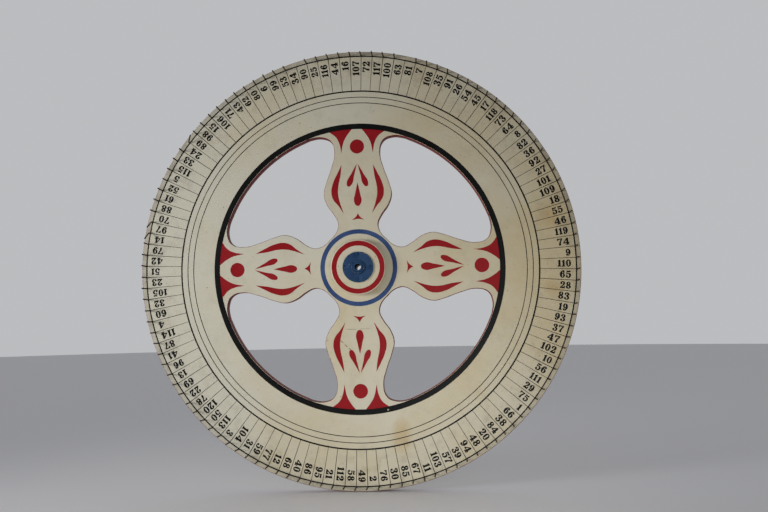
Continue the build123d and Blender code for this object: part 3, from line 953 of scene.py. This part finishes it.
def bare_metal(name, colour, dark, roughness):
    """Turned metal with fine tool marks, dulled by handling and old grease."""
    material = bpy.data.materials.new(name)
    material.use_nodes = True
    nodes = material.node_tree.nodes
    links = material.node_tree.links
    nodes.clear()
    place = nodes.new("ShaderNodeTexCoord")
    place.label = "Place on the wheel"
    tarnishing = nodes.new("NodeFrame")
    tarnishing.label = "Tarnish"
    tarnish = nodes.new("ShaderNodeTexNoise")
    tarnish.label = "Tarnish patches"
    tarnish.parent = tarnishing
    tarnish.inputs["Scale"].default_value = 190.0
    tarnish.inputs["Detail"].default_value = 6.0
    tarnish_colour = nodes.new("ShaderNodeValToRGB")
    tarnish_colour.label = "Bright to tarnished"
    tarnish_colour.parent = tarnishing
    tarnish_colour.color_ramp.elements[0].position = 0.38
    tarnish_colour.color_ramp.elements[0].color = (*colour, 1)
    tarnish_colour.color_ramp.elements[1].position = 0.70
    tarnish_colour.color_ramp.elements[1].color = (*dark, 1)
    shine = nodes.new("ShaderNodeMapRange")
    shine.label = "Tarnish is duller"
    shine.parent = tarnishing
    shine.inputs["To Min"].default_value = roughness - 0.08
    shine.inputs["To Max"].default_value = roughness + 0.25
    turning_marks = nodes.new("NodeFrame")
    turning_marks.label = "Tool marks"
    marks_place = nodes.new("ShaderNodeMapping")
    marks_place.label = "Marks run round the axle"
    marks_place.parent = turning_marks
    marks_place.inputs["Scale"].default_value = (60.0, 2600.0, 60.0)
    marks = nodes.new("ShaderNodeTexNoise")
    marks.label = "Tool marks"
    marks.parent = turning_marks
    marks.inputs["Scale"].default_value = 1.0
    relief = nodes.new("ShaderNodeBump")
    relief.label = "Tool mark relief"
    relief.parent = turning_marks
    relief.inputs["Strength"].default_value = 0.15
    relief.inputs["Distance"].default_value = 0.0001
    metal = nodes.new("ShaderNodeBsdfPrincipled")
    metal.label = "Metal"
    metal.inputs["Metallic"].default_value = 1.0
    out = nodes.new("ShaderNodeOutputMaterial")
    out.label = "Metal surface"
    links.new(place.outputs["Object"], tarnish.inputs["Vector"])
    links.new(tarnish.outputs["Fac"], tarnish_colour.inputs["Fac"])
    links.new(tarnish.outputs["Fac"], shine.inputs["Value"])
    links.new(place.outputs["Object"], marks_place.inputs["Vector"])
    links.new(marks_place.outputs["Vector"], marks.inputs["Vector"])
    links.new(marks.outputs["Fac"], relief.inputs["Height"])
    links.new(tarnish_colour.outputs["Color"], metal.inputs["Base Color"])
    links.new(shine.outputs["Result"], metal.inputs["Roughness"])
    links.new(relief.outputs["Normal"], metal.inputs["Normal"])
    links.new(metal.outputs["BSDF"], out.inputs["Surface"])
    for count, node in enumerate(nodes):
        node.location = (240 * (count % 4), -300 * (count // 4))
    return material


turned_steel = bare_metal("turned_steel", (0.330, 0.330, 0.340), (0.120, 0.110, 0.100), 0.38)
bearing_steel = bare_metal("greased_bearing_steel", (0.560, 0.560, 0.570), (0.300, 0.270, 0.220), 0.22)
cage_brass = bare_metal("cage_brass", (0.600, 0.420, 0.160), (0.280, 0.180, 0.080), 0.35)


def smooth_copy(node, material, body, corner=35):
    """The CAD shape of a node with its loose triangles merged, round faces smooth and corners sharp."""
    shape = bmesh.new()
    shape.from_mesh(frame["nodes"][node].data)
    bmesh.ops.remove_doubles(shape, verts=shape.verts, dist=2e-6)
    for face in shape.faces:
        face.smooth = abs(face.normal.y) < 0.999
        face.material_index = 0
    piece = finished(shape, f"fine_{node}", [material])
    piece.data.set_sharp_from_angle(angle=radians(corner))
    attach(piece, body)
    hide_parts(node)
    return piece


for side in ["front", "back"]:
    smooth_copy(f"{side}_flange", worn_blue, "wheel")
    smooth_copy(f"{side}_flange_screws", worn_blue, "wheel")
    smooth_copy(f"{side}_ring_nut", worn_blue, "axle")

# The bore of the sleeve gets near-black paint: painted shade for the dark inside of the hole, not a colour
# of the steel.
painted_bore_shade = worn_enamel("painted_bore_shade", (0.006, 0.007, 0.005), (0.014, 0.013, 0.010),
                          (0.060, 0.050, 0.040), 0.04, roughness=0.50, pattern=13.0)
BORE_R = frame["record"]["mounts"][0]["dims"]["r_mm"] / 1000
sleeve = smooth_copy("axle_sleeve", worn_blue, "axle")
sleeve.data.materials.append(painted_bore_shade)
# Faces inside the bore take the painted shade.
for face in sleeve.data.polygons:
    if face.center.xz.length < BORE_R + 0.0001:
        face.material_index = 1

# ---- bearings inside the hub ------------------------------------------------------------
# Barrel, races, balls, cages and the spacer between the inner races. Only the gap between
# cover and ring nut lets them be seen, so the CAD shapes stay and get their metals.

for node, obj in frame["nodes"].items():
    if node == "hub_barrel" or node == "race_spacer":
        metal = turned_steel
    elif node.endswith("_cage"):
        metal = cage_brass
    elif node.endswith("_race") or node.endswith("_balls"):
        metal = bearing_steel
    else:
        continue
    obj.data.materials.clear()
    obj.data.materials.append(metal)

# ---- studio -----------------------------------------------------------------------------
# A pale floor that the wheel stands on, a pale surround, and one large soft light from
# the left. The camera looks at the front from a little to the right and below.

FLOOR_R = 9.0
FLOOR_GAP = 0.0004
floor_mesh = bmesh.new()
bmesh.ops.create_circle(floor_mesh, cap_ends=True, radius=FLOOR_R, segments=64)
bmesh.ops.translate(floor_mesh, verts=floor_mesh.verts, vec=(0, 0, -WHEEL_R - FLOOR_GAP))
pale_floor = bpy.data.materials.new("pale_floor")
pale_floor.use_nodes = True
floor_paint = pale_floor.node_tree.nodes["Principled BSDF"]
floor_paint.inputs["Base Color"].default_value = (0.80, 0.80, 0.82, 1)
floor_paint.inputs["Roughness"].default_value = 0.7
floor = finished(floor_mesh, "floor", [pale_floor])

world = bpy.data.worlds.new("pale_surround")
bpy.context.scene.world = world
world.use_nodes = True
surround = world.node_tree.nodes["Background"]
surround.inputs["Color"].default_value = (0.96, 0.97, 1.0, 1)
direction = world.node_tree.nodes.new("ShaderNodeTexCoord")
direction.label = "Direction"
direction.location = (-600, 0)
depth = world.node_tree.nodes.new("ShaderNodeSeparateXYZ")
depth.label = "Towards the back or the front"
depth.location = (-400, 0)
paler = world.node_tree.nodes.new("ShaderNodeMapRange")
paler.label = "Pale behind the wheel, dimmer in front"
paler.location = (-200, 0)
paler.inputs["From Min"].default_value = -0.3
paler.inputs["From Max"].default_value = 0.6
paler.inputs["To Min"].default_value = 0.22
paler.inputs["To Max"].default_value = 0.52
world.node_tree.links.new(direction.outputs["Generated"], depth.inputs["Vector"])
world.node_tree.links.new(depth.outputs["Y"], paler.inputs["Value"])
world.node_tree.links.new(paler.outputs["Result"], surround.inputs["Strength"])


def soft_light(name, spot, target, size, power, colour):
    """A square soft box aimed at a point, with louvres that keep it off the floor."""
    lamp = bpy.data.lights.new(name, "AREA")
    lamp.shape = "SQUARE"
    lamp.size = size
    lamp.spread = radians(75)
    lamp.energy = power
    lamp.color = colour
    box = bpy.data.objects.new(name, lamp)
    bpy.context.scene.collection.objects.link(box)
    box.location = spot
    box.rotation_euler = (Vector(target) - Vector(spot)).to_track_quat("-Z", "Y").to_euler()


soft_light("window_light", (-1.75, -1.2, 0.05), (0, 0, 0.02), 0.7, 4.8, (1.0, 0.99, 0.97))
soft_light("low_light", (0.26, -1.0, -0.20), (0.14, 0, -0.32), 0.4, 0.55, (1.0, 0.99, 0.97))

bpy.context.scene.view_settings.view_transform = "Standard"

camera_data = bpy.data.cameras.new("camera")
camera_data.sensor_width = 36.0
camera_data.lens = 39.84
camera = bpy.data.objects.new("camera", camera_data)
bpy.context.scene.collection.objects.link(camera)
camera.location = (0.1473, BOARD_FRONT - 1.7555, -0.1082)
aim = Vector((0.0529, BOARD_FRONT, 0.02287)) - camera.location
CAMERA_ROLL = radians(-1.007)
level = aim.to_track_quat("-Z", "Y").to_matrix()
camera.rotation_euler = (level @ Matrix.Rotation(CAMERA_ROLL, 3, "Z")).to_euler()
bpy.context.scene.camera = camera
